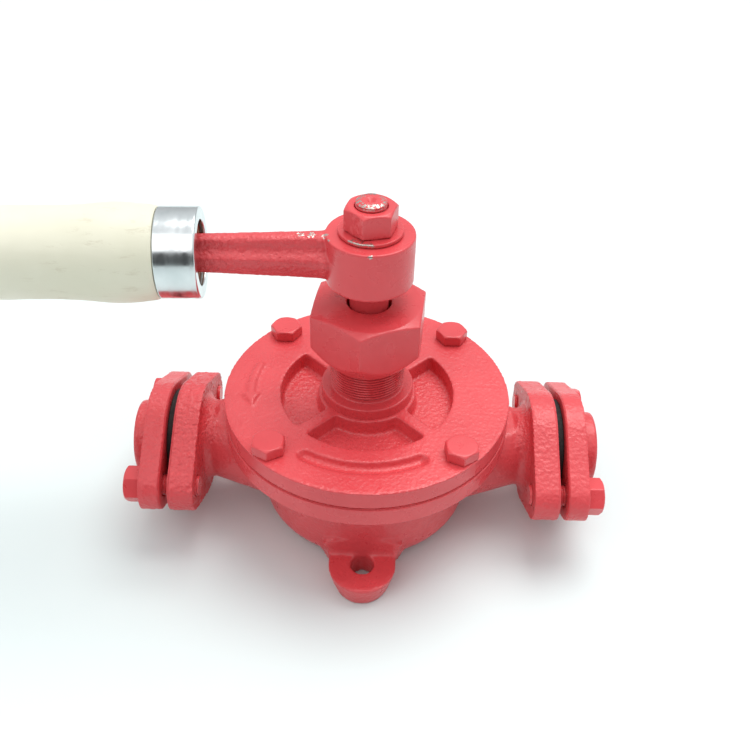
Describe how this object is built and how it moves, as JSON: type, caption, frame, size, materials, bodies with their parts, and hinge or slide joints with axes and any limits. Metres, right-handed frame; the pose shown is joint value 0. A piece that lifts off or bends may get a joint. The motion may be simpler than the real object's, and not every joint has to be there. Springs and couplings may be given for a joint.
{
  "type": "semi-rotary hand pump",
  "caption": "Red cast-iron semi-rotary wing hand pump lying on its back, with flanged ports, a gland nut and a lever with a cream wooden handle.",
  "frame": {"origin": "centre of the casing's flat back face, on the shaft's axis", "axes": "+Z along the shaft towards the lever, +X towards the inlet port, +Y across the ports towards the rear lug"},
  "size_m": [0.332, 0.1534, 0.1773],
  "materials": {
    "casing_enamel": "satin gloss red enamel over sand-cast iron",
    "machined_enamel": "satin gloss red enamel over machined steel",
    "handle_paint": "turned wood, cream paint, semi-matt",
    "ferrule_plate": "bright plated",
    "gasket": "matt",
    "steel": "turned",
    "brass": "machined",
    "packing": "greased graphite braid"
  },
  "bodies": {
    "casing": {"pump_body": "casing_enamel", "front_cover": "casing_enamel", "cover_gasket": "gasket", "cover_bolt_1": "machined_enamel", "cover_bolt_2": "machined_enamel", "cover_bolt_3": "machined_enamel", "cover_bolt_4": "machined_enamel", "flange_bolt_1": "machined_enamel", "flange_bolt_2": "machined_enamel", "flange_bolt_3": "machined_enamel", "flange_bolt_4": "machined_enamel", "inlet_flange": "casing_enamel", "outlet_flange": "casing_enamel", "inlet_gasket": "gasket", "outlet_gasket": "gasket", "partition": "brass", "rear_bush": "brass", "front_bush": "brass", "packing_ring_1": "packing", "packing_ring_2": "packing", "packing_ring_3": "packing", "clack_pin_1": "steel", "clack_pin_2": "steel"},
    "rotor": {"shaft": "steel", "wing": "brass", "wing_pin": "steel", "lever": "casing_enamel", "lever_washer": "machined_enamel", "lever_nut": "machined_enamel", "ferrule": "ferrule_plate", "handle": "handle_paint", "clack_pin_3": "steel", "clack_pin_4": "steel"},
    "gland": {"gland_follower": "brass"},
    "gland_nut": {"gland_nut": "machined_enamel"},
    "suction_clack_1": {"suction_clack_1": "brass"},
    "suction_clack_2": {"suction_clack_2": "brass"},
    "delivery_clack_1": {"delivery_clack_1": "brass"},
    "delivery_clack_2": {"delivery_clack_2": "brass"}
  },
  "joints": [
    {"name": "lever_swing", "type": "hinge", "parent": "casing", "child": "rotor", "pos_m": [0, 0, 0.0355], "axis": [0, 0, 1], "range_deg": [-41, 35]},
    {"name": "gland_travel", "type": "slide", "parent": "casing", "child": "gland", "axis": [0, 0, 1], "range_m": [-0.0015, 0], "deforming": ["packing_ring_1", "packing_ring_2", "packing_ring_3"]},
    {"name": "gland_turn", "type": "hinge", "parent": "gland", "child": "gland_nut", "pos_m": [0, 0, 0.111], "axis": [0, 0, 1], "range_deg": [-360, 0]},
    {"name": "suction_flap_1", "type": "hinge", "parent": "casing", "child": "suction_clack_1", "pos_m": [0.01801, 0.01414, 0.0355], "axis": [0, 0, 1], "range_deg": [0, 25]},
    {"name": "suction_flap_2", "type": "hinge", "parent": "casing", "child": "suction_clack_2", "pos_m": [0.01801, -0.01414, 0.0355], "axis": [0, 0, -1], "range_deg": [0, 25]},
    {"name": "delivery_flap_1", "type": "hinge", "parent": "rotor", "child": "delivery_clack_1", "pos_m": [-0.00636, 0.022, 0.0355], "axis": [0, 0, 1], "range_deg": [0, 25]},
    {"name": "delivery_flap_2", "type": "hinge", "parent": "rotor", "child": "delivery_clack_2", "pos_m": [-0.00403, -0.02254, 0.0355], "axis": [0, 0, -1], "range_deg": [0, 25]}
  ],
  "couplings": [
    {"joint": "gland_travel", "follows": "gland_turn", "m_per_rad": 0.00023873}
  ]
}
